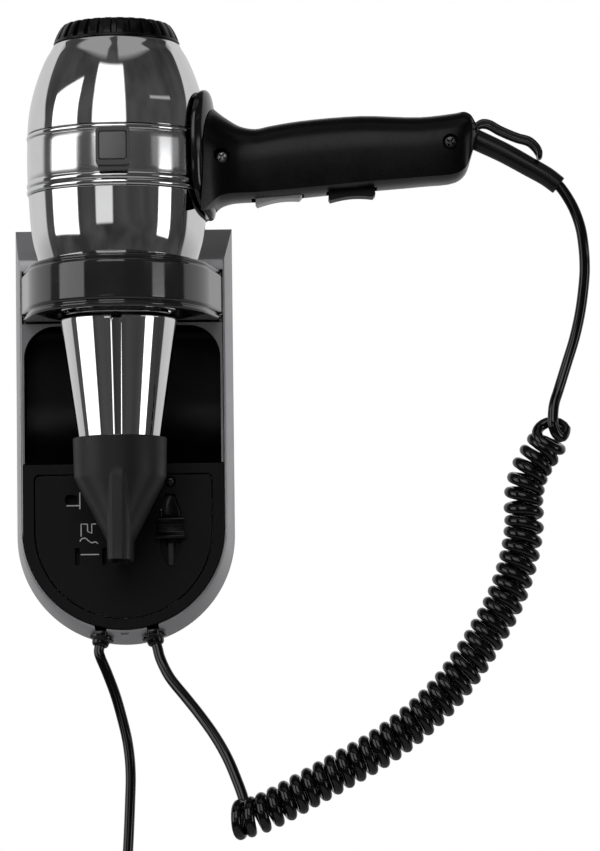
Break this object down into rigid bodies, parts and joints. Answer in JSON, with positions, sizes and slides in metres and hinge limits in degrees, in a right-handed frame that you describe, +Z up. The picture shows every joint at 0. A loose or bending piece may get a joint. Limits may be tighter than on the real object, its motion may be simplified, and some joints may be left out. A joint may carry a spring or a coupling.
{
  "type": "wall-mounted hair dryer",
  "caption": "Pistol-shaped hair dryer docked nose down in a wall holder that has a shaver outlet, with a curly handset cord and a mains lead.",
  "frame": {"origin": "middle of the holder's back face, on the wall", "axes": "+Z up, +Y into the wall, +X to the right as seen by a user facing the wall"},
  "size_m": [0.2704, 0.1018, 0.5214],
  "materials": {
    "chrome": "mirror polished",
    "satin_chrome": "fine circumferential satin",
    "silver_plastic": "satin silver paint",
    "gloss_black": "high gloss",
    "matt_black": "fine matt",
    "matt_grey": "fine matt",
    "light_grey": "satin",
    "rubber": "matt",
    "steel": "bright zinc",
    "brass": "plain",
    "copper": "enamelled winding wire",
    "mica": "mica board",
    "white_plastic": "plain"
  },
  "bodies": {
    "holder": {"wall_plate": "steel", "wall_screw_upper": "steel", "wall_screw_lower": "steel", "holder_shell": "silver_plastic", "dock_ring": "gloss_black", "recess_liner": "gloss_black", "panel_frame": "matt_black", "socket_plate": "matt_black", "plate_screw": "steel", "selector_switch": "matt_grey", "outlet_contact_left": "brass", "outlet_contact_right": "brass", "transformer_core": "steel", "transformer_winding": "copper", "terminal_block": "white_plastic", "mains_bush": "rubber", "handset_bush": "rubber", "handset_lead_curl": "gloss_black", "handset_lead_lower": "gloss_black", "mains_lead": "gloss_black", "mains_coil": "gloss_black", "mains_lead_tail": "gloss_black", "cord_tie": "matt_black", "plug_body": "matt_black", "plug_pin_left": "steel", "plug_pin_right": "steel"},
    "selector": {"selector_slider": "matt_black"},
    "dryer": {"barrel_upper": "chrome", "barrel_band": "satin_chrome", "barrel_lower": "chrome", "nose_cone": "chrome", "outlet_grille": "steel", "heat_tube": "mica", "heater_frame": "mica", "heater_coil": "steel", "thermostat": "steel", "fan_shroud": "matt_black", "motor_body": "steel", "intake_filter": "steel", "button_housing": "gloss_black", "cool_switch": "matt_grey", "saddle_collar": "gloss_black", "handle_front": "gloss_black", "handle_rear": "gloss_black", "handle_screw_neck": "steel", "handle_screw_end": "steel", "switch_body_light": "white_plastic", "switch_body_dark": "white_plastic", "cord_clamp": "matt_grey", "cord_sleeve": "rubber", "handset_lead_upper": "gloss_black"},
    "fan": {"motor_shaft": "steel", "fan_rotor": "matt_black"},
    "cap": {"rear_cap": "gloss_black"},
    "cool_button": {"cool_button": "matt_grey"},
    "light_rocker": {"rocker_light": "light_grey"},
    "dark_rocker": {"rocker_dark": "matt_black"},
    "hang_loop": {"hang_loop": "matt_black"},
    "nozzle": {"concentrator": "matt_grey"}
  },
  "joints": [
    {"name": "dryer_lift", "type": "slide", "parent": "holder", "child": "dryer", "axis": [0, 0, 1], "range_m": [0, 0.16]},
    {"name": "selector_slide", "type": "slide", "parent": "holder", "child": "selector", "axis": [0, 0, -1], "range_m": [0, 0.006]},
    {"name": "fan_spin", "type": "hinge", "parent": "dryer", "child": "fan", "pos_m": [0, -0.055, 0.156], "axis": [0, 0, 1], "continuous": true},
    {"name": "cap_twist", "type": "hinge", "parent": "dryer", "child": "cap", "pos_m": [0, -0.055, 0.182], "axis": [0, 0, 1], "range_deg": [0, 25]},
    {"name": "cool_press", "type": "slide", "parent": "dryer", "child": "cool_button", "axis": [0, 1, 0], "range_m": [0, 0.0015], "stiffness_N_per_m": 400, "springref_m": -0.0006},
    {"name": "light_rocker_tilt", "type": "hinge", "parent": "dryer", "child": "light_rocker", "pos_m": [0.07475, -0.055, 0.111], "axis": [0, 1, 0], "range_deg": [0, 12]},
    {"name": "dark_rocker_tilt", "type": "hinge", "parent": "dryer", "child": "dark_rocker", "pos_m": [0.10865, -0.055, 0.111], "axis": [0, 1, 0], "range_deg": [-7, 7]},
    {"name": "hang_loop_swing", "type": "hinge", "parent": "dryer", "child": "hang_loop", "pos_m": [0.1646, -0.055, 0.138], "axis": [0, -1, 0], "range_deg": [0, 90]},
    {"name": "nozzle_turn", "type": "hinge", "parent": "dryer", "child": "nozzle", "pos_m": [0, -0.055, -0.012], "axis": [0, 0, 1], "continuous": true}
  ]
}
